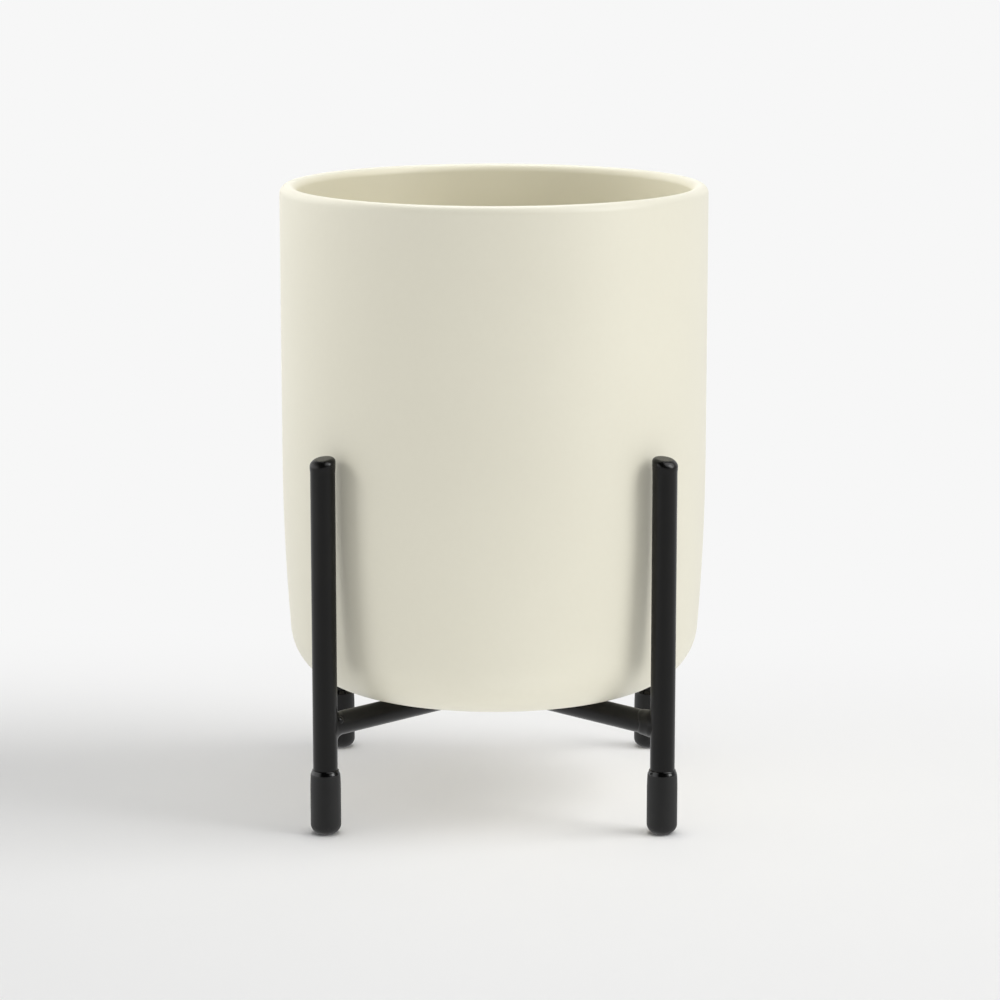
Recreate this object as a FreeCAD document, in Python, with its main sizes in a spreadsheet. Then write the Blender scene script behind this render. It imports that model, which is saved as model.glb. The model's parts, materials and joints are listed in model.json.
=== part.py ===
"""Flatware holder: a glazed cup that stands loose in a welded rod stand with push-on foot caps.

The origin is on the table, under the middle of the cup. +Z is up, the front faces -Y, and lengths are in
millimetres.
"""

import FreeCAD, Part
import math
import os

import Sketcher

# Driving dimensions
SIZES = {
    # Cup: straight upper wall, a slight inward bow below it, a round lower corner and a raised foot ring
    "cup_diameter": 114.3,
    "cup_height": 134.5,
    "cup_wall": 4.4,
    "cup_floor": 6.0,
    "bow_start_height": 62.0,
    "bow_radius": 620.0,
    "cup_corner_radius": 15.7,
    "cup_inner_corner_radius": 12.0,
    "foot_ring_width": 5.0,
    "foot_recess_depth": 1.2,
    # Legs: round rods that stand just clear of the cup
    "leg_diameter": 6.5,
    "cup_leg_gap": 2.1,
    "leg_reach": 68.6,
    "leg_edge_radius": 1.6,
    # Crossed bars: they run from leg to leg under the cup and carry it
    "bar_diameter": 6.2,
    "bar_rise": 8.5,
    "cope_land": 1.4,
    "seat_gap": 0.1,
    # Foot caps: soft sleeves with a round sole, a drawn-in shoulder and a bevelled lip
    "cap_height": 17.3,
    "cap_base_wall": 0.78,
    "cap_mouth_wall": 0.62,
    "cap_lip_wall": 0.3,
    "cap_lip_height": 1.1,
    "cap_shoulder_radius": 50.0,
    "cap_sole_diameter": 2.8,
    "cap_floor": 1.6,
    # Weld beads at the legs
    "weld_inset": 1.25,
    "weld_reach": 4.1,
    "weld_rise": 1.2,
    "weld_side_thickness": 0.15,
    # Weld beads in the four corners of the crossing
    "crossing_weld_thickness": 0.8,
    "crossing_weld_inset": 0.5,
}

# Places that several pieces share, as expressions of the driving dimensions
LEG_CIRCLE_RADIUS = "(Sizes.cup_diameter / 2 + Sizes.cup_leg_gap + Sizes.leg_diameter / 2)"
BAR_AXIS_HEIGHT = "(Sizes.cap_height + Sizes.bar_rise + Sizes.bar_diameter / 2)"
BAR_TOP_HEIGHT = "(Sizes.cap_height + Sizes.bar_rise + Sizes.bar_diameter)"
ON_AXIS = "0"
ON_TABLE = "0"

# Directions of the legs, evenly round the cup from between +X and +Y, in degrees seen from above
LEG_CORNERS = ("rear_right", "rear_left", "front_left", "front_right")
LEG_ANGLES = {corner: (step + 0.5) * 360 / len(LEG_CORNERS) for step, corner in enumerate(LEG_CORNERS)}
LONG_BAR_ENDS = ("rear_right", "front_left")
SHORT_BAR_ENDS = ("rear_left", "front_right")

# Sketcher's point numbers and the numbers of a sketch's own axes
START, END, CENTER = range(1, 4)
X_AXIS, Y_AXIS = (-number for number in range(1, 3))
ORIGIN = (X_AXIS, START)

RIGHT, UP, LEFT, DOWN = 0, math.pi / 2, math.pi, -math.pi / 2

doc = FreeCAD.newDocument("flatware_holder")
sheet = doc.addObject("Spreadsheet::Sheet", "Sizes")
for row, (alias, value) in enumerate(SIZES.items(), start=1):
    sheet.set(f"A{row}", alias)
    sheet.set(f"B{row}", str(value))
    sheet.setAlias(f"B{row}", alias)
doc.recompute()


def vector(x, y, z=0):
    return FreeCAD.Vector(x, y, z)


def place(piece, angle, radius, height):
    """Puts a piece on a circle about the cup's axis, with its own +X pointing outwards."""
    piece.Placement = FreeCAD.Placement(vector(0, 0), FreeCAD.Rotation(vector(0, 0, 1), angle))
    piece.setExpression(".Placement.Base.x", f"{radius} * cos({angle} deg)")
    piece.setExpression(".Placement.Base.y", f"{radius} * sin({angle} deg)")
    piece.setExpression(".Placement.Base.z", height)


def new_body(label):
    body = doc.addObject("PartDesign::Body", label)
    body.Label = label
    return body


def new_sketch(body, name, role):
    """A sketch on one of the body's own origin planes."""
    sketch = body.newObject("Sketcher::SketchObject", f"{body.Name}_{name}")
    plane = next(feature for feature in body.Origin.OriginFeatures if feature.Role == role)
    sketch.AttachmentSupport = [(plane, "")]
    sketch.MapMode = "FlatFace"
    return sketch


def drive(sketch, name, expression, kind, *references):
    """A named constraint that follows the sheet."""
    value = float(sketch.evalExpression(expression))
    index = sketch.addConstraint(Sketcher.Constraint(kind, *references, value))
    sketch.renameConstraint(index, name)
    sketch.setExpression(f"Constraints.{name}", expression)


def relate(sketch, kind, *links):
    """The same geometric constraint on each of several links."""
    for link in links:
        sketch.addConstraint(Sketcher.Constraint(kind, *link))


def line(start, end):
    return Part.LineSegment(vector(*start), vector(*end))


def arc(center, radius, first_angle, last_angle):
    circle = Part.Circle(vector(*center), vector(0, 0, 1), radius)
    return Part.ArcOfCircle(circle, first_angle, last_angle)


def draw_circle(sketch, name, diameter, distance=ON_AXIS):
    """A circle on the sketch's X axis, at a distance from the origin that may be negative."""
    radius = float(sketch.evalExpression(diameter)) / 2
    x = float(sketch.evalExpression(distance))
    index = sketch.addGeometry(Part.Circle(vector(x, 0), vector(0, 0, 1), radius))
    drive(sketch, f"{name}_diameter", diameter, "Diameter", index)
    if distance == ON_AXIS:
        relate(sketch, "Coincident", (index, CENTER, *ORIGIN))
    else:
        relate(sketch, "PointOnObject", (index, CENTER, X_AXIS))
        drive(sketch, f"{name}_distance", distance, "DistanceX", *ORIGIN, index, CENTER)


def revolve(body, sketch):
    solid = body.newObject("PartDesign::Revolution", f"{body.Name}_revolution")
    solid.Profile = sketch
    solid.ReferenceAxis = (sketch, ["V_Axis"])
    solid.Angle = 360
    doc.recompute()


def pad(body, sketch, length, side="One side"):
    solid = body.newObject("PartDesign::Pad", f"{body.Name}_pad")
    solid.Profile = sketch
    solid.SideType = side
    solid.setExpression("Length", length)
    doc.recompute()
    return solid


def cut_through(body, sketch):
    """Cuts the sketch through the body both ways."""
    volume = body.Shape.Volume
    cut = body.newObject("PartDesign::Pocket", f"{sketch.Name}_cut")
    cut.Profile = sketch
    cut.Type = "ThroughAll"
    cut.SideType = "Symmetric"
    doc.recompute()
    if not body.Shape.Volume < volume:
        raise RuntimeError(f"{cut.Name} cuts nothing")


def cup():
    """The revolved cup: its bowed wall keeps one thickness from the lower corner to the full-round rim."""
    body = new_body("cup")
    sketch = new_sketch(body, "profile", "XZ_Plane")
    radius = SIZES["cup_diameter"] / 2
    wall = SIZES["cup_wall"]
    bow = SIZES["bow_radius"]
    bow_center = (radius - bow, SIZES["bow_start_height"])
    rim_center = (radius - wall / 2, SIZES["cup_height"] - wall / 2)
    recess = SIZES["foot_recess_depth"]

    def corner(bow_arc_radius, corner_radius, floor):
        """Center of a corner that touches floor and bowed wall, and the angle where it meets the wall."""
        center_height = floor + corner_radius
        drop = bow_center[1] - center_height
        run = math.sqrt((bow_arc_radius - corner_radius) ** 2 - drop**2)
        return (bow_center[0] + run, center_height), math.atan2(-drop, run)

    outer, outer_angle = corner(bow, SIZES["cup_corner_radius"], 0)
    inner, inner_angle = corner(bow - wall, SIZES["cup_inner_corner_radius"], SIZES["cup_floor"])
    foot_x = outer[0] - SIZES["foot_ring_width"]
    bow_height = bow_center[1]
    outline = [
        line((0, recess), (foot_x - recess, recess)),
        arc((foot_x, recess), recess, LEFT, LEFT + UP),
        line((foot_x, 0), (outer[0], 0)),
        arc(outer, SIZES["cup_corner_radius"], DOWN, outer_angle),
        arc(bow_center, bow, outer_angle, RIGHT),
        line((radius, bow_height), (radius, rim_center[1])),
        arc(rim_center, wall / 2, RIGHT, UP),
        arc(rim_center, wall / 2, UP, LEFT),
        line((radius - wall, rim_center[1]), (radius - wall, bow_height)),
        arc(bow_center, bow - wall, inner_angle, RIGHT),
        arc(inner, SIZES["cup_inner_corner_radius"], DOWN, inner_angle),
        line((inner[0], SIZES["cup_floor"]), (0, SIZES["cup_floor"])),
        line((0, SIZES["cup_floor"]), (0, recess)),
    ]
    (roof, foot_edge, foot, low_corner, low_wall, high_wall, rim, inner_rim,
     inner_high_wall, inner_low_wall, inner_corner, floor, axis) = sketch.addGeometry(outline)
    relate(
        sketch, "Tangent",
        (foot_edge, END, foot, START), (foot, END, low_corner, START), (low_corner, END, low_wall, START),
        (low_wall, END, high_wall, START), (high_wall, END, rim, START),
        (inner_rim, END, inner_high_wall, START), (inner_high_wall, END, inner_low_wall, END),
        (inner_low_wall, START, inner_corner, END), (inner_corner, START, floor, START),
    )
    relate(
        sketch, "Coincident",
        (roof, END, foot_edge, START), (floor, END, axis, START), (axis, END, roof, START),
        (inner_low_wall, CENTER, low_wall, CENTER), (inner_rim, CENTER, rim, CENTER),
        (rim, END, inner_rim, START),
    )
    relate(sketch, "Horizontal", (roof,), (foot,), (floor,), (foot_edge, START, foot_edge, CENTER))
    relate(sketch, "Vertical", (high_wall,), (inner_high_wall,), (axis,), (rim, END, rim, CENTER))
    relate(sketch, "PointOnObject", (axis, START, Y_AXIS), (foot, START, X_AXIS))
    drive(sketch, "recess", "Sizes.foot_recess_depth", "DistanceY", *ORIGIN, roof, START)
    drive(sketch, "ring", "Sizes.foot_ring_width", "DistanceX", foot, START, foot, END)
    drive(sketch, "corner", "Sizes.cup_corner_radius", "Radius", low_corner)
    drive(sketch, "bow", "Sizes.bow_radius", "Radius", low_wall)
    drive(sketch, "bow_start", "Sizes.bow_start_height", "DistanceY", *ORIGIN, low_wall, CENTER)
    drive(sketch, "radius", "Sizes.cup_diameter / 2", "DistanceX", *ORIGIN, high_wall, START)
    drive(sketch, "rim", "Sizes.cup_wall / 2", "Radius", rim)
    drive(sketch, "height", "Sizes.cup_height", "DistanceY", *ORIGIN, rim, END)
    drive(sketch, "inner_corner", "Sizes.cup_inner_corner_radius", "Radius", inner_corner)
    drive(sketch, "floor", "Sizes.cup_floor", "DistanceY", *ORIGIN, floor, START)
    revolve(body, sketch)
    place(body, 0, ON_AXIS, f"{BAR_TOP_HEIGHT} + Sizes.seat_gap")
    return body


def leg(corner, angle):
    """A round rod from the cap's floor to above the middle of the cup, with its top edge rounded."""
    body = new_body(f"leg_{corner}")
    sketch = new_sketch(body, "section", "XY_Plane")
    draw_circle(sketch, "rod", "Sizes.leg_diameter")
    rod = pad(body, sketch, f"{BAR_TOP_HEIGHT} + Sizes.leg_reach - Sizes.cap_floor")
    edges = {edge.BoundBox.ZMin: f"Edge{number}" for number, edge in enumerate(rod.Shape.Edges, start=1)}
    rounding = body.newObject("PartDesign::Fillet", f"{body.Name}_rounding")
    rounding.Base = (rod, [edges[max(edges)]])
    rounding.setExpression("Radius", "Sizes.leg_edge_radius")
    place(body, angle, LEG_CIRCLE_RADIUS, "Sizes.cap_floor")
    return body


def long_bar():
    """The bar that runs whole from leg to leg, coped round both."""
    body = new_body("cross_bar_long")
    section = new_sketch(body, "section", "YZ_Plane")
    draw_circle(section, "bar", "Sizes.bar_diameter")
    pad(body, section, f"2 * {LEG_CIRCLE_RADIUS}", "Symmetric")
    cope = new_sketch(body, "leg_cope", "XY_Plane")
    draw_circle(cope, "outer_leg", "Sizes.leg_diameter", LEG_CIRCLE_RADIUS)
    draw_circle(cope, "inner_leg", "Sizes.leg_diameter", f"-{LEG_CIRCLE_RADIUS}")
    cut_through(body, cope)
    place(body, LEG_ANGLES[LONG_BAR_ENDS[0]], ON_AXIS, BAR_AXIS_HEIGHT)
    return body


def short_bar(corner):
    """One half of the crossing bar, coped round its leg and round the long bar, with blunt tips."""
    body = new_body(f"cross_bar_{corner}")
    section = new_sketch(body, "section", "YZ_Plane")
    section.setExpression(".AttachmentOffset.Base.z", "Sizes.cope_land")
    draw_circle(section, "bar", "Sizes.bar_diameter")
    pad(body, section, f"{LEG_CIRCLE_RADIUS} - Sizes.cope_land")
    leg_cope = new_sketch(body, "leg_cope", "XY_Plane")
    draw_circle(leg_cope, "leg", "Sizes.leg_diameter", LEG_CIRCLE_RADIUS)
    cut_through(body, leg_cope)
    bar_cope = new_sketch(body, "bar_cope", "XZ_Plane")
    draw_circle(bar_cope, "bar", "Sizes.bar_diameter")
    cut_through(body, bar_cope)
    place(body, LEG_ANGLES[corner], ON_AXIS, BAR_AXIS_HEIGHT)
    return body


def foot_cap(corner, angle):
    """A soft sleeve, tight on the leg's end, with a round sole, a drawn-in shoulder and a bevelled lip."""
    body = new_body(f"foot_cap_{corner}")
    sketch = new_sketch(body, "profile", "XZ_Plane")
    bore = SIZES["leg_diameter"] / 2
    lip = bore + SIZES["cap_lip_wall"]
    mouth = bore + SIZES["cap_mouth_wall"]
    base = bore + SIZES["cap_base_wall"]
    sole = SIZES["cap_sole_diameter"] / 2
    edge_radius = base - sole
    shoulder_radius = SIZES["cap_shoulder_radius"]
    shoulder_angle = math.acos((mouth - base + shoulder_radius) / shoulder_radius)
    top = SIZES["cap_height"]
    bevel_height = top - SIZES["cap_lip_height"]
    shoulder_height = bevel_height - shoulder_radius * math.sin(shoulder_angle)
    floor_height = SIZES["cap_floor"]
    outline = [
        line((0, 0), (sole, 0)),
        arc((sole, edge_radius), edge_radius, DOWN, RIGHT),
        line((base, edge_radius), (base, shoulder_height)),
        arc((base - shoulder_radius, shoulder_height), shoulder_radius, RIGHT, shoulder_angle),
        line((mouth, bevel_height), (lip, top)),
        line((lip, top), (bore, top)),
        line((bore, top), (bore, floor_height)),
        line((bore, floor_height), (0, floor_height)),
        line((0, floor_height), (0, 0)),
    ]
    bottom, edge, side, shoulder, bevel, rim, hole, floor, axis = sketch.addGeometry(outline)
    relate(
        sketch, "Tangent",
        (bottom, END, edge, START), (edge, END, side, START), (side, END, shoulder, START),
    )
    relate(
        sketch, "Coincident",
        (shoulder, END, bevel, START), (bevel, END, rim, START), (rim, END, hole, START),
        (hole, END, floor, START), (floor, END, axis, START), (axis, END, bottom, START),
        (bottom, START, *ORIGIN),
    )
    relate(sketch, "Horizontal", (bottom,), (rim,), (floor,))
    relate(sketch, "Vertical", (side,), (hole,), (axis,))
    drive(sketch, "sole", "Sizes.cap_sole_diameter / 2", "DistanceX", *ORIGIN, bottom, END)
    drive(sketch, "shoulder", "Sizes.cap_shoulder_radius", "Radius", shoulder)
    drive(sketch, "base_wall", "Sizes.cap_base_wall", "DistanceX", hole, START, side, START)
    drive(sketch, "mouth_wall", "Sizes.cap_mouth_wall", "DistanceX", hole, START, bevel, START)
    drive(sketch, "lip_wall", "Sizes.cap_lip_wall", "DistanceX", hole, START, bevel, END)
    drive(sketch, "lip_height", "Sizes.cap_lip_height", "DistanceY", bevel, START, bevel, END)
    drive(sketch, "height", "Sizes.cap_height", "DistanceY", *ORIGIN, rim, END)
    drive(sketch, "bore", "Sizes.leg_diameter / 2", "DistanceX", *ORIGIN, hole, START)
    drive(sketch, "floor", "Sizes.cap_floor", "DistanceY", *ORIGIN, floor, START)
    revolve(body, sketch)
    place(body, angle, LEG_CIRCLE_RADIUS, ON_TABLE)
    return body


def bead(label, angle, center_radius, radii, welded):
    """A weld bead: an ellipsoid on the bars' axis height, less the pieces that it joins."""
    shape = doc.addObject("Part::Ellipsoid", f"{label}_form")
    for name, expression in zip(("Radius2", "Radius3", "Radius1"), radii):
        shape.setExpression(name, expression)
    place(shape, angle, center_radius, BAR_AXIS_HEIGHT)
    for piece in welded:
        rest = doc.addObject("Part::Cut", f"{label}_less_{piece.Name}")
        rest.Base = shape
        rest.Tool = piece
        shape = rest
    shape.Label = label
    return shape


def leg_weld(corner, angle, rod, bar):
    """The bead round a bar's end, higher than the bar and hardly wider than the leg."""
    radii = (
        "Sizes.weld_reach",
        "max(Sizes.leg_diameter; Sizes.bar_diameter) / 2 + Sizes.weld_side_thickness",
        "Sizes.bar_diameter / 2 + Sizes.weld_rise",
    )
    center_radius = f"({LEG_CIRCLE_RADIUS} - Sizes.leg_diameter / 2 + Sizes.weld_inset)"
    return bead(f"leg_weld_{corner}", angle, center_radius, radii, (rod, bar))


def crossing_weld(bars):
    """Four small beads, one in each corner of the crossing, below the level that carries the cup."""
    reach = "Sizes.bar_diameter / 2 * sqrt(2) + Sizes.crossing_weld_thickness"
    radii = (reach, reach, "Sizes.bar_diameter / 2 - Sizes.crossing_weld_inset")
    return bead("crossing_weld", LEG_ANGLES[LONG_BAR_ENDS[0]], ON_AXIS, radii, bars)


def write_steps(pieces):
    """Writes each piece to its own file, once every object has been found sound."""
    doc.recompute()
    for item in doc.Objects:
        if "Invalid" in item.State or "Error" in item.State:
            raise RuntimeError(f"{item.Label} failed: {item.State}")
    for piece in pieces:
        if piece.Shape.isNull() or not piece.Shape.isValid():
            raise RuntimeError(f"{piece.Label} has no sound shape")
    os.makedirs("parts", exist_ok=True)
    for piece in pieces:
        piece.Shape.exportStep(f"parts/{piece.Label}.step")


legs = {corner: leg(corner, angle) for corner, angle in LEG_ANGLES.items()}
caps = [foot_cap(corner, angle) for corner, angle in LEG_ANGLES.items()]
whole_bar = long_bar()
bars = {corner: whole_bar for corner in LONG_BAR_ENDS}
bars.update({corner: short_bar(corner) for corner in SHORT_BAR_ENDS})
half_bars = [bars[corner] for corner in SHORT_BAR_ENDS]
welds = [leg_weld(corner, angle, legs[corner], bars[corner]) for corner, angle in LEG_ANGLES.items()]
welds.append(crossing_weld([whole_bar, *half_bars]))
write_steps([cup(), *legs.values(), *caps, whole_bar, *half_bars, *welds])
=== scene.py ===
"""Looks of the flatware holder: a satin-glazed cup in a black rod stand with soft foot caps.

It stands on a pale floor in soft studio light. Lengths are in metres, and angles in degrees.
"""

import json
import math

import bpy
from mathutils import Matrix, Vector, noise

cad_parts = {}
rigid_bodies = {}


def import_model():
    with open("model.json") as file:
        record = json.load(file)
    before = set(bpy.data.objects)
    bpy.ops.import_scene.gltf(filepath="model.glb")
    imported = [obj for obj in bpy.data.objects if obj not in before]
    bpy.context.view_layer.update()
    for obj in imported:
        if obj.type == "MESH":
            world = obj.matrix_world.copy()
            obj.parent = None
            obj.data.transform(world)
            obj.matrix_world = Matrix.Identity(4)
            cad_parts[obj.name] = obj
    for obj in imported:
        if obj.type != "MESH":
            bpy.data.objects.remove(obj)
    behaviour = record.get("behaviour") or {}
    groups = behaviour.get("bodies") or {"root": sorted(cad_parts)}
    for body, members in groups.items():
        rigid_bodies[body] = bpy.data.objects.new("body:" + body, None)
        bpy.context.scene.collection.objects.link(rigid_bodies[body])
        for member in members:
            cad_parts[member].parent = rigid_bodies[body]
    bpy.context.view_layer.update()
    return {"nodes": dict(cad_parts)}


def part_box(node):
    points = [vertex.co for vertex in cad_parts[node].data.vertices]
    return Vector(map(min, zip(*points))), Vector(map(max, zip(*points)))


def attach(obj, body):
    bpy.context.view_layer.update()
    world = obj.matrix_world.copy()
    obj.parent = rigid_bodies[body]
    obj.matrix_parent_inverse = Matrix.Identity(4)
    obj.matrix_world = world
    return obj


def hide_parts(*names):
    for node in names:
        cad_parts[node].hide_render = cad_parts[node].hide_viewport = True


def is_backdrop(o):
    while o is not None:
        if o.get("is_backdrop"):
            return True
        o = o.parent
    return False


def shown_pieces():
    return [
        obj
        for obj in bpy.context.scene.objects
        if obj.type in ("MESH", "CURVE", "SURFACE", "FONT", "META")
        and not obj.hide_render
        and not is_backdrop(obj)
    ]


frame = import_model()

MM = 0.001

# Places and sizes that the frame gives
CORNERS = ("rear_right", "rear_left", "front_left", "front_right")
LONG_BAR_CORNER = "rear_right"
HALF_BAR_CORNERS = ("rear_left", "front_right")
cup_low, cup_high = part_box("cup")
CUP_RADIUS = (cup_high.x - cup_low.x) / 2
CUP_BOTTOM, CUP_TOP = cup_low.z, cup_high.z
leg_boxes = {corner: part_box(f"leg_{corner}") for corner in CORNERS}
leg_axes = {corner: (low + high) / 2 for corner, (low, high) in leg_boxes.items()}
LEG_RADIUS = max((high.x - low.x) / 2 for low, high in leg_boxes.values())
LEG_BOTTOM = min(low.z for low, high in leg_boxes.values())
LEG_TOP = max(high.z for low, high in leg_boxes.values())
LEG_CIRCLE_RADIUS = leg_axes["front_right"].xy.length
bar_low, bar_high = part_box("cross_bar_long")
BAR_RADIUS = (bar_high.z - bar_low.z) / 2
BAR_HEIGHT = (bar_high.z + bar_low.z) / 2
cap_low, cap_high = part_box("foot_cap_front_left")
CAP_RADIUS = (cap_high.x - cap_low.x) / 2
CAP_TOP = cap_high.z

# Fineness of the meshes
CUP_SEGMENTS = 192
ROD_SEGMENTS = 48
BEAD_SEGMENTS = 24
FLOOR_SEGMENTS = 96
BAR_STEPS = 16
WELD_STEPS = 14
POLE_RADIUS = 1e-7
SHARP_EDGE = 35

# Cup, as in the solid
CUP_WALL = 4.4 * MM
CUP_FLOOR = 6.0 * MM
BOW_START = 62.0 * MM
BOW_RADIUS = 620.0 * MM
CUP_CORNER_RADIUS = 15.7 * MM
CUP_INNER_CORNER_RADIUS = 12.0 * MM
FOOT_RING_WIDTH = 5.0 * MM
FOOT_RECESS = 1.2 * MM

# Legs: rounding of the top outside and inside, its slope, the depth of the sloped zone, and the coat's swell
LEG_EDGE_RADIUS = 1.6 * MM
LEG_INNER_EDGE_RADIUS = 0.9 * MM
LEG_TOP_SLOPE = 0.17
LEG_TOP_ZONE = 4.5 * MM
LEG_COAT_SWELL = 0.12 * MM

# Bars: the least distance from the start of a half bar to the axis of the whole bar
COPE_LAND = 1.4 * MM

# Welds: how far each climbs its leg, how far it runs along its bar, and how far its collar stands off the bar
FLARE = (2.3 * MM, 2.6 * MM, 0.0)
FILLETS = {
    "rear_right": FLARE,
    "rear_left": FLARE,
    "front_left": FLARE,
    "front_right": (0.7 * MM, 4.6 * MM, 0.22 * MM),
}
FLARE_SIDE_SHARE = 0.45
FILLET_SINK = 0.03 * MM
FILLET_SIDE_SHARE = 0.98
FILLET_ROOT_DEPTH = LEG_RADIUS / 3
FILLET_ROOT_SHARE = 0.7
COLLAR_RISE_SHARE = 0.08
COLLAR_FALL_SHARES = (0.55, 0.8)
LUMP_HEIGHT = 0.16 * MM
LUMP_LIFT = 0.55
LUMP_SCALE = 420

# One drop of weld metal on a bar, at its distance from the leg's axis, and turned up from the bar's side
BEAD_CORNER = "front_left"
BEAD_HEIGHT = 0.55 * MM
BEAD_SINK = 0.45 * MM
BEAD_RADIUS = 1.15 * MM
BEAD_REACH = 3.1 * MM
BEAD_LIFT = 34

# Caps
CAP_SOLE_RADIUS = 1.4 * MM
CAP_FLOOR = 1.6 * MM
CAP_MOUTH_WALL = 0.62 * MM
CAP_LIP_WALL = 0.30 * MM
CAP_LIP_HEIGHT = 1.1 * MM
CAP_LIP_ROUND = 0.28 * MM
CAP_SHOULDER_RADIUS = 50.0 * MM


def arc(center, radius, first, last, steps):
    """Points along an arc of an outline, with angles from outwards to up."""
    angles = [math.radians(first + (last - first) * step / steps) for step in range(steps + 1)]
    return [(center[0] + radius * math.cos(a), center[1] + radius * math.sin(a)) for a in angles]


def straight(start, end, steps):
    """Points along a straight run of an outline."""
    shares = [step / steps for step in range(steps + 1)]
    return [(start[0] + (end[0] - start[0]) * s, start[1] + (end[1] - start[1]) * s) for s in shares]


def smooth_step(value, low, high):
    """A share that eases from 0 at low to 1 at high."""
    share = min(max((value - low) / (high - low), 0), 1)
    return share * share * (3 - 2 * share)


def mesh_object(name, vertices, faces):
    """A smooth-shaded object whose edges stay sharp where the surface turns."""
    mesh = bpy.data.meshes.new(name)
    mesh.from_pydata(vertices, [], faces)
    mesh.update()
    mesh.shade_smooth()
    mesh.set_sharp_from_angle(angle=math.radians(SHARP_EDGE))
    piece = bpy.data.objects.new(name, mesh)
    bpy.context.scene.collection.objects.link(piece)
    return piece


def dress(piece, body, slot, *nodes):
    """Gives a piece its body and its finish, and hides the nodes that it stands for."""
    piece.data.materials.append(FINISHES[slot])
    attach(piece, body)
    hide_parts(*nodes)


def lathe(outline, segments):
    """Vertices and faces of an outline of (radius, height) turned about the Z axis."""
    vertices, rings = [], []
    for radius, height in outline:
        count = segments if radius > POLE_RADIUS else 1
        rings.append(range(len(vertices), len(vertices) + count))
        for step in range(count):
            turn = math.tau * step / segments
            vertices.append(Vector((radius * math.cos(turn), radius * math.sin(turn), height)))
    faces = []
    for low, high in zip(rings, rings[1:]):
        if len(low) == len(high) == 1:
            continue
        for step in range(segments):
            after = (step + 1) % segments
            if len(low) == 1:
                faces.append((low[0], high[after], high[step]))
            elif len(high) == 1:
                faces.append((low[step], low[after], high[0]))
            else:
                faces.append((low[step], low[after], high[after], high[step]))
    return vertices, faces


def cup_outline():
    """The cup's section from the middle of its underside, round the wall, to the middle of its floor."""
    bow_center = (CUP_RADIUS - BOW_RADIUS, BOW_START)
    inner_radius = CUP_RADIUS - CUP_WALL

    def corner(bow_radius, radius, floor_height):
        """Center of a corner that touches floor and bowed wall, and the angle where it meets the wall."""
        drop = bow_center[1] - floor_height - radius
        run = math.sqrt((bow_radius - radius) ** 2 - drop**2)
        return (bow_center[0] + run, floor_height + radius), math.degrees(math.atan2(-drop, run))

    outer, outer_angle = corner(BOW_RADIUS, CUP_CORNER_RADIUS, 0)
    inner, inner_angle = corner(BOW_RADIUS - CUP_WALL, CUP_INNER_CORNER_RADIUS, CUP_FLOOR)
    foot = outer[0] - FOOT_RING_WIDTH
    rim = (CUP_RADIUS - CUP_WALL / 2, CUP_TOP - CUP_BOTTOM - CUP_WALL / 2)
    points = straight((0, FOOT_RECESS), (foot - FOOT_RECESS, FOOT_RECESS), steps=6)
    points += arc((foot, FOOT_RECESS), FOOT_RECESS, 180, 270, steps=6)
    points += straight((foot, 0), (outer[0], 0), steps=3)[1:]
    points += arc(outer, CUP_CORNER_RADIUS, -90, outer_angle, steps=20)[1:]
    points += arc(bow_center, BOW_RADIUS, outer_angle, 0, steps=8)[1:]
    points += straight((CUP_RADIUS, BOW_START), (CUP_RADIUS, rim[1]), steps=6)[1:]
    points += arc(rim, CUP_WALL / 2, 0, 180, steps=20)[1:]
    points += straight((inner_radius, rim[1]), (inner_radius, BOW_START), steps=6)[1:]
    points += arc(bow_center, BOW_RADIUS - CUP_WALL, 0, inner_angle, steps=8)[1:]
    points += arc(inner, CUP_INNER_CORNER_RADIUS, inner_angle, -90, steps=16)[1:]
    points += straight((inner[0], CUP_FLOOR), (0, CUP_FLOOR), steps=6)[1:]
    return [(radius, CUP_BOTTOM + height) for radius, height in points]


def leg_mesh(corner):
    """A rod whose top slopes down outwards, tightly rounded inside, with the coat thicker round its tip."""
    edge_radius, edge_height = LEG_RADIUS - LEG_EDGE_RADIUS, LEG_TOP - LEG_EDGE_RADIUS
    zone_height = LEG_TOP - LEG_TOP_ZONE
    outline = [(0, LEG_BOTTOM)]
    outline += straight((LEG_RADIUS, LEG_BOTTOM), (LEG_RADIUS, zone_height), steps=12)
    outline += straight((LEG_RADIUS, zone_height), (LEG_RADIUS, edge_height), steps=10)[1:]
    outline += arc((edge_radius, edge_height), LEG_EDGE_RADIUS, 0, 90, steps=12)[1:]
    outline += straight((edge_radius, LEG_TOP), (0, LEG_TOP), steps=4)[1:]
    vertices, faces = lathe(outline, ROD_SEGMENTS)
    axis = leg_axes[corner]
    outwards = Vector((axis.x, axis.y, 0)).normalized()
    for vertex in vertices:
        share = smooth_step(vertex.z, zone_height, edge_height)
        swell = LEG_COAT_SWELL * share * (1 - smooth_step(vertex.z, edge_height, LEG_TOP))
        radius = vertex.xy.length
        if vertex.z >= edge_height and radius > 0:
            facing = (1 + vertex.dot(outwards) / radius) / 2
            rounding = LEG_INNER_EDGE_RADIUS + (LEG_EDGE_RADIUS - LEG_INNER_EDGE_RADIUS) * facing
            scale = rounding / LEG_EDGE_RADIUS
            flat = LEG_RADIUS - rounding
            if radius < edge_radius:
                turned = radius * flat / edge_radius
            else:
                turned = flat + (radius - edge_radius) * scale
            vertex.xy *= turned / radius
            vertex.z = LEG_TOP - rounding + (vertex.z - edge_height) * scale
        vertex.xy *= 1 + swell / LEG_RADIUS
        vertex.z -= share * LEG_TOP_SLOPE * (vertex.dot(outwards) + LEG_RADIUS)
        vertex.x += axis.x
        vertex.y += axis.y
    return vertices, faces


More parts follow.
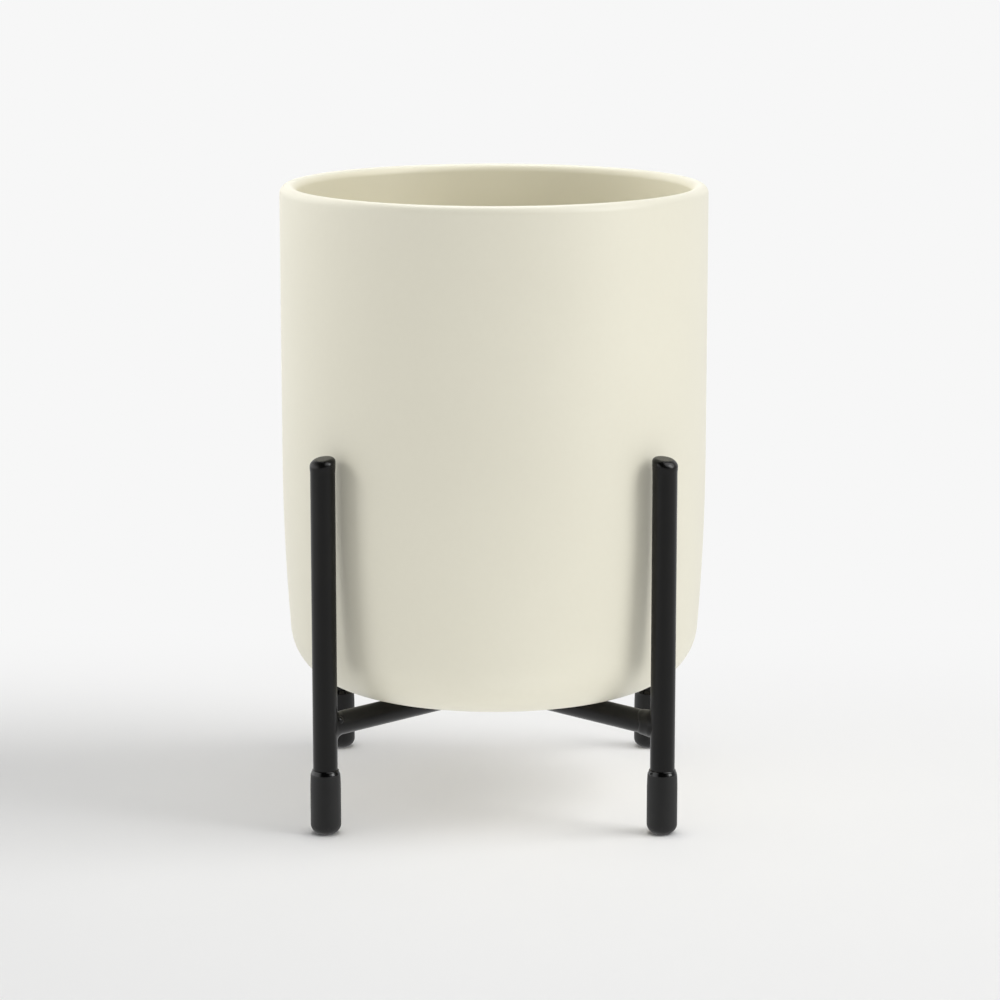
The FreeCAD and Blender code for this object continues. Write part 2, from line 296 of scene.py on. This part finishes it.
def outward_matrix(corner):
    """The frame of a bar's end: X runs from the cup's axis to the leg, and Z is up."""
    axis = leg_axes[corner]
    return Matrix.Translation((0, 0, BAR_HEIGHT)) @ Matrix.Rotation(math.atan2(axis.y, axis.x), 4, "Z")


def leg_face(lateral):
    """Distance from the cup's axis to the near face of a leg."""
    return LEG_CIRCLE_RADIUS - math.sqrt(LEG_RADIUS**2 - lateral**2)


def bar_mesh(corner, whole=False):
    """A round bar that ends on the face of its leg, and starts on the opposite leg or on the whole bar."""
    vertices, faces = [], []
    for step in range(BAR_STEPS + 1):
        share = step / BAR_STEPS
        for turn in range(ROD_SEGMENTS):
            angle = math.tau * turn / ROD_SEGMENTS
            lateral, rise = BAR_RADIUS * math.cos(angle), BAR_RADIUS * math.sin(angle)
            last = leg_face(lateral)
            first = -last if whole else max(math.sqrt(max(BAR_RADIUS**2 - rise**2, 0)), COPE_LAND)
            vertices.append(Vector((first + (last - first) * share, lateral, rise)))
    for step in range(BAR_STEPS):
        low, high = step * ROD_SEGMENTS, (step + 1) * ROD_SEGMENTS
        for turn in range(ROD_SEGMENTS):
            after = (turn + 1) % ROD_SEGMENTS
            faces.append((low + turn, low + after, high + after, high + turn))
    faces.append(tuple(reversed(range(ROD_SEGMENTS))))
    faces.append(tuple(range(BAR_STEPS * ROD_SEGMENTS, (BAR_STEPS + 1) * ROD_SEGMENTS)))
    matrix = outward_matrix(corner)
    return [matrix @ vertex for vertex in vertices], faces


def bead_mesh(corner):
    """A drop of weld metal sunk in the skin of a bar."""
    height = BEAD_HEIGHT + BEAD_SINK
    ball = arc((0, 0), 1, -90, 90, steps=12)
    vertices, faces = lathe([(BEAD_RADIUS * r, height * z - BEAD_SINK) for r, z in ball], BEAD_SEGMENTS)
    tilt = Matrix.Rotation(math.radians(BEAD_LIFT - 90), 4, "X")
    seat = outward_matrix(corner) @ Matrix.Translation((LEG_CIRCLE_RADIUS - BEAD_REACH, 0, 0)) @ tilt
    return [seat @ (vertex + Vector((0, 0, BAR_RADIUS))) for vertex in vertices], faces


def weld_mesh(corner, seed):
    """A lumpy weld between a bar and its leg: a concave flare, or a collar that stands off the bar."""
    climb, run, collar = FILLETS[corner]
    bar_skin = BAR_RADIUS - FILLET_SINK
    matrix = outward_matrix(corner)
    vertices, faces = [], []
    for turn in range(ROD_SEGMENTS):
        angle = math.tau * turn / ROD_SEGMENTS
        along, up = math.cos(angle), math.sin(angle)
        depth = up * up
        rise = climb * depth
        reach = run if collar else run * (FLARE_SIDE_SHARE + (1 - FLARE_SIDE_SHARE) * depth)
        lateral = min(abs((BAR_RADIUS + rise) * along), FILLET_SIDE_SHARE * LEG_RADIUS)
        lateral = math.copysign(lateral, along)
        on_bar = Vector((leg_face(bar_skin * along) - reach, bar_skin * along, bar_skin * up))
        root = Vector((leg_face(BAR_RADIUS * along), BAR_RADIUS * along, BAR_RADIUS * up))
        on_leg = Vector((leg_face(lateral) + FILLET_SINK, lateral, (BAR_RADIUS + rise) * up))
        inside = Vector((root.x + FILLET_ROOT_DEPTH, root.y * FILLET_ROOT_SHARE, root.z * FILLET_ROOT_SHARE))
        outwards = Vector((-1, along, up)).normalized()
        around = Vector((0, along, up))
        for step in range(WELD_STEPS + 1):
            share = step / WELD_STEPS
            point = on_bar * (1 - share) ** 2 + root * 2 * share * (1 - share) + on_leg * share**2
            lump = noise.noise((point + Vector((seed, 0, 0))) * LUMP_SCALE)
            point = point + outwards * LUMP_HEIGHT * (LUMP_LIFT + lump) * math.sin(math.pi * share)
            rising = smooth_step(share, 0, COLLAR_RISE_SHARE)
            falling = 1 - smooth_step(share, *COLLAR_FALL_SHARES)
            point += around * collar * rising * falling
            vertices.append(matrix @ point)
        vertices.append(matrix @ inside)
    row = WELD_STEPS + 2
    for turn in range(ROD_SEGMENTS):
        this, after = turn * row, (turn + 1) % ROD_SEGMENTS * row
        for step in range(row):
            following = (step + 1) % row
            faces.append((this + step, after + step, after + following, this + following))
    if corner == BEAD_CORNER:
        bead_vertices, bead_faces = bead_mesh(corner)
        faces += [tuple(len(vertices) + index for index in face) for face in bead_faces]
        vertices += bead_vertices
    return vertices, faces


def cap_mesh(corner):
    """A soft sleeve with a round sole, a drawn-in shoulder and a bevelled lip with a rounded edge."""
    base, mouth, lip = CAP_RADIUS, LEG_RADIUS + CAP_MOUTH_WALL, LEG_RADIUS + CAP_LIP_WALL
    edge_radius = base - CAP_SOLE_RADIUS
    shoulder_angle = math.degrees(math.acos((mouth - base + CAP_SHOULDER_RADIUS) / CAP_SHOULDER_RADIUS))
    bevel = CAP_TOP - CAP_LIP_HEIGHT
    shoulder = bevel - CAP_SHOULDER_RADIUS * math.sin(math.radians(shoulder_angle))
    shoulder_center = (base - CAP_SHOULDER_RADIUS, shoulder)
    lip_edge = CAP_TOP - CAP_LIP_ROUND
    outline = [(0, 0)]
    outline += straight((CAP_SOLE_RADIUS / 2, 0), (CAP_SOLE_RADIUS, 0), steps=2)
    outline += arc((CAP_SOLE_RADIUS, edge_radius), edge_radius, -90, 0, steps=14)[1:]
    outline += straight((base, edge_radius), (base, shoulder), steps=6)[1:]
    outline += arc(shoulder_center, CAP_SHOULDER_RADIUS, 0, shoulder_angle, steps=6)[1:]
    outline += straight((mouth, bevel), (lip, lip_edge), steps=5)[1:]
    outline += arc((lip - CAP_LIP_ROUND, lip_edge), CAP_LIP_ROUND, 0, 90, steps=6)[1:]
    outline += [(LEG_RADIUS, CAP_TOP), (LEG_RADIUS, CAP_FLOOR), (0, CAP_FLOOR)]
    vertices, faces = lathe(outline, ROD_SEGMENTS)
    axis = leg_axes[corner]
    return [vertex + Vector((axis.x, axis.y, 0)) for vertex in vertices], faces


class Tree:
    """A short way to write a node tree."""

    def __init__(self, owner):
        owner.use_nodes = True
        self.tree = owner.node_tree

    def node(self, kind, inputs=None, **settings):
        """A node with its settings, and its inputs set or linked by name or number."""
        made = self.tree.nodes.new(f"ShaderNode{kind}")
        for name, value in settings.items():
            setattr(made, name, value)
        for name, value in (inputs or {}).items():
            self.set(made.inputs[name], value)
        return made

    def set(self, socket, value):
        """Links a socket to a value that comes from a node, or gives it a plain value."""
        if isinstance(value, bpy.types.NodeSocket):
            self.tree.links.new(value, socket)
        else:
            socket.default_value = value

    def noise(self, vector, scale, detail=2.0, roughness=0.5):
        inputs = {"Vector": vector, "Scale": scale, "Detail": detail, "Roughness": roughness}
        return self.node("TexNoise", inputs).outputs["Fac"]

    def span(self, value, low, high, to_low=0.0, to_high=1.0, smooth=False):
        """A value's range turned into another, with no overshoot."""
        inputs = {"Value": value, "From Min": low, "From Max": high, "To Min": to_low, "To Max": to_high}
        kind = "SMOOTHSTEP" if smooth else "LINEAR"
        return self.node("MapRange", inputs, interpolation_type=kind).outputs["Result"]

    def math(self, operation, first, second):
        return self.node("Math", {0: first, 1: second}, operation=operation).outputs[0]

    def blend(self, share, first, second):
        """A colour between two colours."""
        inputs = {"Factor": share, 6: first, 7: second}
        return self.node("Mix", inputs, data_type="RGBA").outputs[2]

    def bump(self, height, distance, strength, normal=None):
        inputs = {"Height": height, "Distance": distance, "Strength": strength}
        if normal:
            inputs["Normal"] = normal
        return self.node("Bump", inputs).outputs["Normal"]


def rgb(red, green, blue):
    return (red, green, blue, 1.0)


def grey(tone):
    return rgb(tone, tone, tone)


# The middle of a noise's range, where most of its values lie
NOISE_BAND = (0.3, 0.7)

# Glaze: colours, marks per metre, where it is thin and paler on the rim, partly a painted highlight, where it
# is warmer inside, and where bare, and its roughness and relief
GLAZE_COLORS = (rgb(0.690, 0.665, 0.552), rgb(0.710, 0.686, 0.572))
# Paler rim colour: thin glaze there, and also a painted highlight
THIN_GLAZE_AND_HIGHLIGHT_COLOR = rgb(0.78, 0.757, 0.64)
# Warmer colour for the inner wall
WARMER_INSIDE_COLOR = rgb(0.712, 0.676, 0.528)
CLAY_COLORS = (rgb(0.63, 0.555, 0.45), rgb(0.72, 0.655, 0.55))
CLOUD_SCALE, MOTTLE_SCALE, CLAY_SCALE = 26, 640, 2600
CLOUD_SHARE, MOTTLE_SHARE = 0.7, 0.3
THIN_GLAZE_AND_HIGHLIGHT_DEPTH = 1.6 * MM
THIN_GLAZE_AND_HIGHLIGHT_SHARE = 0.35
WARMER_INSIDE_WALL_SHARE = 0.6
WARMER_INSIDE_BOW_SHARE = 0.6
GLAZE_LINE_HEIGHT = 0.12 * MM
GLAZE_LINE_WANDER = 0.25 * MM
CLAY_BAND = (0.35, 0.7)
GLAZE_ROUGHNESS = (0.40, 0.46)
CLAY_ROUGHNESS = 0.9
CLOUD_RELIEF = (0.25 * MM, 0.25)
MOTTLE_RELIEF = (0.03 * MM, 0.2)
CLAY_RELIEF_DEPTH = 0.02 * MM
CLAY_RELIEF_STRENGTHS = (0.04, 0.8)


def cream_glaze():
    """Satin glaze with faint clouds, paler on the rim where it is thin and as a painted highlight, warmer
    inside, and bare clay on the foot ring.
    """
    material = bpy.data.materials.new("cream_glaze")
    tree = Tree(material)
    shader = tree.tree.nodes["Principled BSDF"]
    place = tree.node("TexCoord").outputs["Object"]
    axes = tree.node("SeparateXYZ", {0: place}).outputs
    height = axes["Z"]
    clouds = tree.noise(place, CLOUD_SCALE, detail=3)
    mottle = tree.noise(place, MOTTLE_SCALE)
    grain = tree.noise(place, CLAY_SCALE)
    large, small = tree.math("MULTIPLY", clouds, CLOUD_SHARE), tree.math("MULTIPLY", mottle, MOTTLE_SHARE)
    tone = tree.math("ADD", large, small)
    color = tree.blend(tree.span(tone, *NOISE_BAND), *GLAZE_COLORS)
    # Paler towards the rim: thin glaze, and a painted highlight there
    thin_and_highlight = tree.span(height, CUP_TOP - THIN_GLAZE_AND_HIGHLIGHT_DEPTH, CUP_TOP, 0, THIN_GLAZE_AND_HIGHLIGHT_SHARE, smooth=True)
    color = tree.blend(thin_and_highlight, color, THIN_GLAZE_AND_HIGHLIGHT_COLOR)
    level = tree.node("CombineXYZ", {"X": axes["X"], "Y": axes["Y"]}).outputs[0]
    spread = tree.node("VectorMath", {0: level}, operation="LENGTH").outputs["Value"]
    inner_face = CUP_RADIUS - CUP_WALL
    inside_wall = CUP_RADIUS - CUP_WALL * WARMER_INSIDE_WALL_SHARE
    inner = tree.span(spread, inner_face, inside_wall, 1, 0, smooth=True)
    upper = tree.span(height, CUP_BOTTOM + BOW_START * WARMER_INSIDE_BOW_SHARE, CUP_BOTTOM + BOW_START, smooth=True)
    # Warmer on the inner wall, above the lower part of the bow
    color = tree.blend(tree.math("MULTIPLY", inner, upper), color, WARMER_INSIDE_COLOR)
    wander = tree.math("MULTIPLY", clouds, GLAZE_LINE_WANDER)
    line = tree.math("ADD", CUP_BOTTOM + GLAZE_LINE_HEIGHT, wander)
    bare = tree.math("LESS_THAN", height, line)
    clay = tree.blend(tree.span(grain, *CLAY_BAND), *CLAY_COLORS)
    tree.set(shader.inputs["Base Color"], tree.blend(bare, color, clay))
    satin = tree.span(tone, *NOISE_BAND, *GLAZE_ROUGHNESS)
    rough = tree.math("MAXIMUM", satin, tree.math("MULTIPLY", bare, CLAY_ROUGHNESS))
    tree.set(shader.inputs["Roughness"], rough)
    waves = tree.bump(clouds, *CLOUD_RELIEF)
    peel = tree.bump(mottle, *MOTTLE_RELIEF, waves)
    grit = tree.span(bare, 0, 1, *CLAY_RELIEF_STRENGTHS)
    tree.set(shader.inputs["Normal"], tree.bump(grain, CLAY_RELIEF_DEPTH, grit, peel))
    return material


# Coat of the rods: colours, marks per metre, gloss, the tips where it pulls thick, and its relief
COAT_COLORS = (rgb(0.0026, 0.0025, 0.0023), rgb(0.0044, 0.0042, 0.0038))
COAT_PATCH_SCALE, PEEL_SCALE, GRIT_SCALE = 160, 1150, 4200
PEEL_NOISE_ROUGHNESS = 0.45
GRIT_SHARE = 0.4
COAT_BAND = (0.5, 0.9)
COAT_SPECULAR = 0.24
COAT_ROUGHNESS = (0.30, 0.37)
TIP_START, TIP_END = 3.2 * MM, 1.4 * MM
TIP_GLOSS = 0.12
PEEL_DEPTH = 0.03 * MM
PEEL_STRENGTHS = (0.35, 0.12)
COAT_PATCH_RELIEF = (0.12 * MM, 0.25)


def powder_coat():
    """Black satin coat with a fine orange peel, glossier on the rods' tips where it pulls thick."""
    material = bpy.data.materials.new("powder_coat")
    tree = Tree(material)
    shader = tree.tree.nodes["Principled BSDF"]
    place = tree.node("TexCoord").outputs["Object"]
    height = tree.node("SeparateXYZ", {0: place}).outputs["Z"]
    patches = tree.noise(place, COAT_PATCH_SCALE, detail=3)
    peel = tree.noise(place, PEEL_SCALE, roughness=PEEL_NOISE_ROUGHNESS)
    grit = tree.noise(place, GRIT_SCALE, detail=1)
    tone = tree.math("ADD", patches, tree.math("MULTIPLY", grit, GRIT_SHARE))
    tree.set(shader.inputs["Base Color"], tree.blend(tree.span(tone, *COAT_BAND), *COAT_COLORS))
    shader.inputs["Specular IOR Level"].default_value = COAT_SPECULAR
    tip = tree.span(height, LEG_TOP - TIP_START, LEG_TOP - TIP_END, smooth=True)
    satin = tree.span(patches, *NOISE_BAND, *COAT_ROUGHNESS)
    tree.set(shader.inputs["Roughness"], tree.math("SUBTRACT", satin, tree.math("MULTIPLY", tip, TIP_GLOSS)))
    skin = tree.bump(peel, PEEL_DEPTH, tree.span(tip, 0, 1, *PEEL_STRENGTHS))
    tree.set(shader.inputs["Normal"], tree.bump(patches, *COAT_PATCH_RELIEF, skin))
    return material


# Vinyl of the caps: colours, with the lip painted near-black as a painted dark reflection, marks per metre,
# gloss, where the lip starts, and its relief
VINYL_COLORS = (rgb(0.0056, 0.0056, 0.0055), rgb(0.0088, 0.0088, 0.0086))
# Near-black lip colour: a painted dark reflection
LIP_DARK_REFLECTION_COLOR = grey(0.0008)
VINYL_PATCH_SCALE, VINYL_GRAIN_SCALE = 210, 3400
VINYL_GRAIN_SHARE = 0.3
VINYL_BAND = (0.45, 0.85)
VINYL_SPECULAR = 0.32
VINYL_ROUGHNESS = (0.50, 0.58)
LIP_START_SHARE, LIP_END_SHARE = 1.25, 0.9
LIP_GLOSS = 0.44
VINYL_GRAIN_DEPTH = 0.015 * MM
VINYL_GRAIN_STRENGTHS = (0.5, 0.05)
VINYL_PATCH_RELIEF = (0.15 * MM, 0.2)


def cap_vinyl():
    """Soft black vinyl with a dull skin and a shiny lip, painted near-black as a painted dark reflection."""
    material = bpy.data.materials.new("cap_vinyl")
    tree = Tree(material)
    shader = tree.tree.nodes["Principled BSDF"]
    place = tree.node("TexCoord").outputs["Object"]
    height = tree.node("SeparateXYZ", {0: place}).outputs["Z"]
    patches = tree.noise(place, VINYL_PATCH_SCALE, detail=3)
    grain = tree.noise(place, VINYL_GRAIN_SCALE)
    tone = tree.math("ADD", patches, tree.math("MULTIPLY", grain, VINYL_GRAIN_SHARE))
    lip_start = CAP_TOP - CAP_LIP_HEIGHT * LIP_START_SHARE
    lip_end = CAP_TOP - CAP_LIP_HEIGHT * LIP_END_SHARE
    lip = tree.span(height, lip_start, lip_end, smooth=True)
    color = tree.blend(tree.span(tone, *VINYL_BAND), *VINYL_COLORS)
    # Painted dark reflection: the lip's colour blended to near-black
    tree.set(shader.inputs["Base Color"], tree.blend(lip, color, LIP_DARK_REFLECTION_COLOR))
    shader.inputs["Specular IOR Level"].default_value = VINYL_SPECULAR
    dull = tree.span(patches, *NOISE_BAND, *VINYL_ROUGHNESS)
    tree.set(shader.inputs["Roughness"], tree.math("SUBTRACT", dull, tree.math("MULTIPLY", lip, LIP_GLOSS)))
    skin = tree.bump(grain, VINYL_GRAIN_DEPTH, tree.span(lip, 0, 1, *VINYL_GRAIN_STRENGTHS))
    tree.set(shader.inputs["Normal"], tree.bump(patches, *VINYL_PATCH_RELIEF, skin))
    return material


# Pieces
FINISHES = {"cream_glaze": cream_glaze(), "powder_coat": powder_coat(), "cap_vinyl": cap_vinyl()}
dress(mesh_object("cup_glazed", *lathe(cup_outline(), CUP_SEGMENTS)), "cup", "cream_glaze", "cup")
for number, corner in enumerate(CORNERS):
    leg = mesh_object(f"coated_leg_{corner}", *leg_mesh(corner))
    dress(leg, "stand", "powder_coat", f"leg_{corner}")
    weld = mesh_object(f"coated_weld_{corner}", *weld_mesh(corner, seed=number))
    dress(weld, "stand", "powder_coat", f"leg_weld_{corner}")
    cap = mesh_object(f"vinyl_cap_{corner}", *cap_mesh(corner))
    dress(cap, "stand", "cap_vinyl", f"foot_cap_{corner}")
long_bar = mesh_object("coated_bar_long", *bar_mesh(LONG_BAR_CORNER, whole=True))
dress(long_bar, "stand", "powder_coat", "cross_bar_long")
for corner in HALF_BAR_CORNERS:
    half_bar = mesh_object(f"coated_bar_{corner}", *bar_mesh(corner))
    dress(half_bar, "stand", "powder_coat", f"cross_bar_{corner}")
crossing = frame["nodes"]["crossing_weld"]
crossing.data.materials.clear()
crossing.data.materials.append(FINISHES["powder_coat"])

# Floor: its tone and grain, and where it runs out into the background, around the object and behind it
BACKGROUND = 0.93
FLOOR_RADIUS = 5.0
FLOOR_TONE = 0.87
FLOOR_GRAIN_SCALE = 30
FLOOR_GRAIN_SHARE = 0.005
FLOOR_FADE = (0.30, 0.90)
FLOOR_BACK_FADE = (0.01, 0.19)


def floor_material():
    """Pale matt floor that runs out into the white background, is white in gloss and clear from below."""
    material = bpy.data.materials.new("studio_floor")
    tree = Tree(material)
    tree.tree.nodes.remove(tree.tree.nodes["Principled BSDF"])
    surface = tree.node("NewGeometry").outputs
    place = surface["Position"]
    spread = tree.node("VectorMath", {0: place}, operation="LENGTH").outputs["Value"]
    depth = tree.node("SeparateXYZ", {0: place}).outputs["Y"]
    around = tree.span(spread, *FLOOR_FADE, smooth=True)
    behind = tree.span(depth, *FLOOR_BACK_FADE, smooth=True)
    far = tree.math("MAXIMUM", around, behind)
    far = tree.math("MAXIMUM", far, tree.node("LightPath").outputs["Is Glossy Ray"])
    grain = tree.noise(place, FLOOR_GRAIN_SCALE)
    dark, light = FLOOR_TONE * (1 - FLOOR_GRAIN_SHARE), FLOOR_TONE * (1 + FLOOR_GRAIN_SHARE)
    matt = tree.node("BsdfDiffuse", {"Color": tree.blend(grain, grey(dark), grey(light))}).outputs[0]
    white = tree.node("Emission", {"Color": grey(BACKGROUND), "Strength": 1.0}).outputs[0]
    face = tree.node("MixShader", {0: far, 1: matt, 2: white}).outputs[0]
    clear = tree.node("BsdfTransparent").outputs[0]
    seen = tree.node("MixShader", {0: surface["Backfacing"], 1: face, 2: clear}).outputs[0]
    tree.set(tree.tree.nodes["Material Output"].inputs["Surface"], seen)
    return material


floor = mesh_object("studio_floor", *lathe([(FLOOR_RADIUS, 0), (0, 0)], FLOOR_SEGMENTS))
floor.data.materials.append(floor_material())
floor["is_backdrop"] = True

# Studio in gloss: the axis of each span, where it starts and ends, and its value before and after
GLOWS = {
    "back": ("Y", 0.0, 0.6, 0.05, BACKGROUND),
    "right": ("X", 0.2, 0.9, 0.0, 0.6),
    "left": ("X", -0.4, -0.95, 0.0, 2.4),
    "overhead": ("Z", 0.45, 0.85, 1.0, 0.45),
}
CANOPY = Vector((0.62, -0.20, 0.76)).normalized()
CANOPY_EDGE = (0.78, 0.92)
CANOPY_STRENGTH = 3.4
SOFT_STRENGTH = 0.41


def studio_world():
    """White to the camera, even to matt surfaces, and in gloss pale behind and aside and dark in front."""
    world = bpy.data.worlds.new("studio")
    sky = Tree(world)
    direction = sky.node("TexCoord").outputs["Generated"]
    axes = sky.node("SeparateXYZ", {0: direction}).outputs
    glow = {name: sky.span(axes[axis], *change, smooth=True) for name, (axis, *change) in GLOWS.items()}
    toward = sky.node("VectorMath", {0: direction, 1: CANOPY}, operation="DOT_PRODUCT").outputs["Value"]
    canopy = sky.span(toward, *CANOPY_EDGE, 0.0, CANOPY_STRENGTH, smooth=True)
    sides = sky.math("MAXIMUM", glow["back"], sky.math("MAXIMUM", glow["left"], glow["right"]))
    studio = sky.math("MAXIMUM", sky.math("MULTIPLY", sides, glow["overhead"]), canopy)
    rays = sky.node("LightPath").outputs
    mirrored = sky.math("ADD", rays["Is Glossy Ray"], rays["Is Transmission Ray"])
    mirrored = sky.math("MINIMUM", mirrored, 1.0)
    soft = sky.node("Background", {"Color": grey(1), "Strength": SOFT_STRENGTH}).outputs[0]
    around = sky.node("Background", {"Color": grey(1), "Strength": studio}).outputs[0]
    white = sky.node("Background", {"Color": grey(BACKGROUND), "Strength": 1.0}).outputs[0]
    lit = sky.node("MixShader", {0: mirrored, 1: soft, 2: around}).outputs[0]
    seen = sky.node("MixShader", {0: rays["Is Camera Ray"], 1: lit, 2: white}).outputs[0]
    sky.set(sky.tree.nodes["World Output"].inputs["Surface"], seen)
    return world


bpy.context.scene.world = studio_world()

# Softboxes: azimuth, elevation, distance, width, height, power, what is lit, what shades it, shown in gloss
AIM = Vector((0, 0, 0.085))
LIGHTS = {
    "key": (82, 45, 1.6, 0.9, 1.0, 11.2, "floor", "object", False),
    "top": (180, 88, 1.0, 0.5, 0.5, 3.7, "floor", "caps", False),
    "softbox_right": (66, 32, 1.1, 0.45, 0.8, 6.2, "object", "object", True),
    "softbox_left": (-77, 28, 1.1, 0.4, 0.4, 3.7, "object", "object", False),
    "rim_left": (-130, 32, 1.1, 0.5, 0.5, 4.4, "object", "object", False),
    "top_front": (60, 62, 1.1, 0.5, 0.5, 0.4, "object", "object", False),
    "top_back": (180, 62, 1.1, 0.5, 0.5, 4.1, "object", "object", True),
    "bounce": (12, -46, 0.55, 0.3, 0.3, 0.8, "cup", "cup", False),
    "over": (0, 88, 1.1, 0.3, 0.3, 0.7, "cup", "object", False),
}
members = {
    "object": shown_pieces(),
    "cup": [bpy.data.objects["cup_glazed"]],
    "caps": [bpy.data.objects[f"vinyl_cap_{corner}"] for corner in CORNERS],
    "floor": [floor],
}
groups = {name: bpy.data.collections.new(f"{name}_group") for name in members}
for name, pieces in members.items():
    for piece in pieces:
        groups[name].objects.link(piece)
for name, (azimuth, elevation, distance, width, tall, power, lit, shade, gloss) in LIGHTS.items():
    light = bpy.data.lights.new(name, "AREA")
    light.shape = "RECTANGLE"
    light.size = width
    light.size_y = tall
    light.energy = power
    lamp = bpy.data.objects.new(name, light)
    turn, lift = math.radians(azimuth), math.radians(elevation)
    away = Vector((math.sin(turn) * math.cos(lift), -math.cos(turn) * math.cos(lift), math.sin(lift)))
    lamp.location = AIM + away * distance
    lamp.rotation_euler = away.to_track_quat("Z", "Y").to_euler()
    lamp.visible_camera = False
    lamp.visible_glossy = gloss
    lamp.light_linking.receiver_collection = groups[lit]
    lamp.light_linking.blocker_collection = groups[shade]
    bpy.context.scene.collection.objects.link(lamp)

# Camera, with its lens and sensor in millimetres
CAMERA_PLACE = (0.0016, -0.9442, 0.2642)
CAMERA_TILT = 79.0
CAMERA_LENS = 127.66
CAMERA_SENSOR = 36.0
camera = bpy.data.cameras.new("camera")
camera.sensor_width = CAMERA_SENSOR
camera.lens = CAMERA_LENS
viewer = bpy.data.objects.new("camera", camera)
viewer.location = CAMERA_PLACE
viewer.rotation_euler = (math.radians(CAMERA_TILT), 0, 0)
bpy.context.scene.collection.objects.link(viewer)
bpy.context.scene.camera = viewer
bpy.context.scene.view_settings.view_transform = "Standard"
